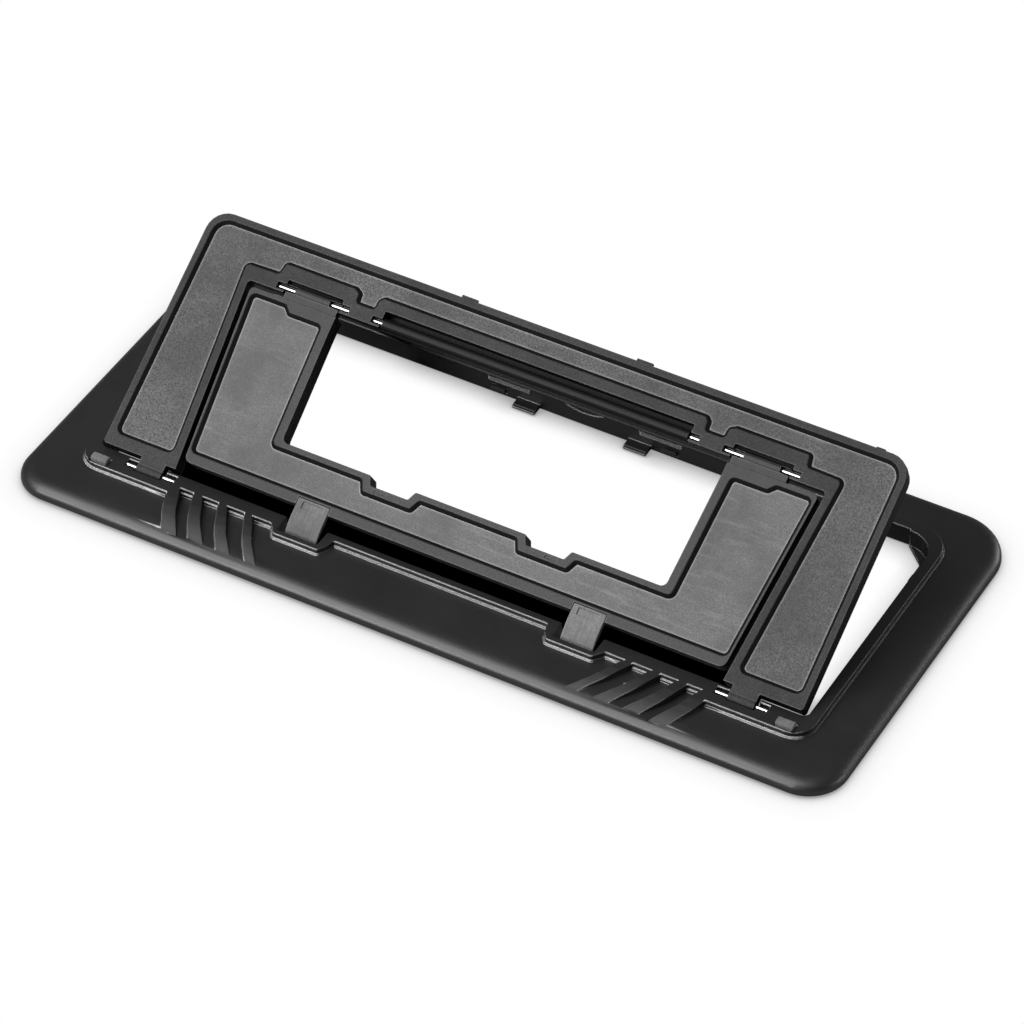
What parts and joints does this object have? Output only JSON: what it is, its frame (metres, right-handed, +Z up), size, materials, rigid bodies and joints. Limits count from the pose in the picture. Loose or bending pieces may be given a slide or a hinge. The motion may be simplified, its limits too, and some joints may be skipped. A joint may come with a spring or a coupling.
{
  "type": "negative carrier",
  "caption": "Flat bezel with a hinged outer leaf, a nested U-shaped leaf and a strut leaf that hold it tilted over the opening.",
  "frame": {"origin": "centre of the bezel, on the table", "axes": "+X along the front edge to the right, +Y from the front edge to the back edge, +Z up off the table"},
  "size_m": [0.282, 0.1304, 0.0529],
  "materials": {
    "base": "fine smooth satin black moulding",
    "underside": "plain black moulding",
    "outer_leaf": "fine grained dark grey panel with smoother rim",
    "inner_leaf": "smoother satin dark grey panel",
    "prop_leaf": "satin black moulding",
    "pad": "rough pale grey grip material",
    "tip": "rough dark grey grip material",
    "rubber": "matt black strip",
    "pin": "bright drawn steel",
    "screw": "blackened steel"
  },
  "bodies": {
    "base": {"base_frame": "base", "base_cover": "underside", "base_screws": "screw", "base_foot_front_left": "rubber", "base_foot_front_right": "rubber", "base_foot_back_left": "rubber", "base_foot_back_right": "rubber", "rest_pad_left": "pad", "rest_pad_right": "pad", "prop_seat_left": "tip", "prop_seat_right": "tip", "base_pin_left": "pin", "base_pin_right": "pin"},
    "outer_leaf": {"outer_leaf_shell": "outer_leaf", "outer_leaf_back": "underside", "outer_leaf_screws": "screw", "leaf_pin_left": "pin", "leaf_pin_right": "pin"},
    "inner_leaf": {"inner_leaf_shell": "inner_leaf", "inner_leaf_back": "underside", "inner_leaf_screws": "screw", "inner_tip_left": "pad", "inner_tip_right": "pad"},
    "prop_leaf": {"prop_leaf_shell": "prop_leaf", "prop_leaf_back": "underside", "prop_leaf_screws": "screw", "prop_tip_left": "tip", "prop_tip_right": "tip"}
  },
  "joints": [
    {"name": "outer_leaf_tilt", "type": "hinge", "parent": "base", "child": "outer_leaf", "pos_m": [0, -0.04304, 0.00598], "axis": [1, 0, 0], "range_deg": [-32.5, 0]},
    {"name": "inner_leaf_swing", "type": "hinge", "parent": "outer_leaf", "child": "inner_leaf", "pos_m": [0, 0.01537, 0.04266], "axis": [1, 0, 0], "range_deg": [0, 80]},
    {"name": "prop_leaf_fold", "type": "hinge", "parent": "outer_leaf", "child": "prop_leaf", "pos_m": [0, 0.01537, 0.04266], "axis": [1, 0, 0], "range_deg": [-100.75, 0]}
  ],
  "couplings": [
    {"joint": "prop_leaf_fold", "follows": "outer_leaf_tilt", "ratio": 3.1}
  ]
}
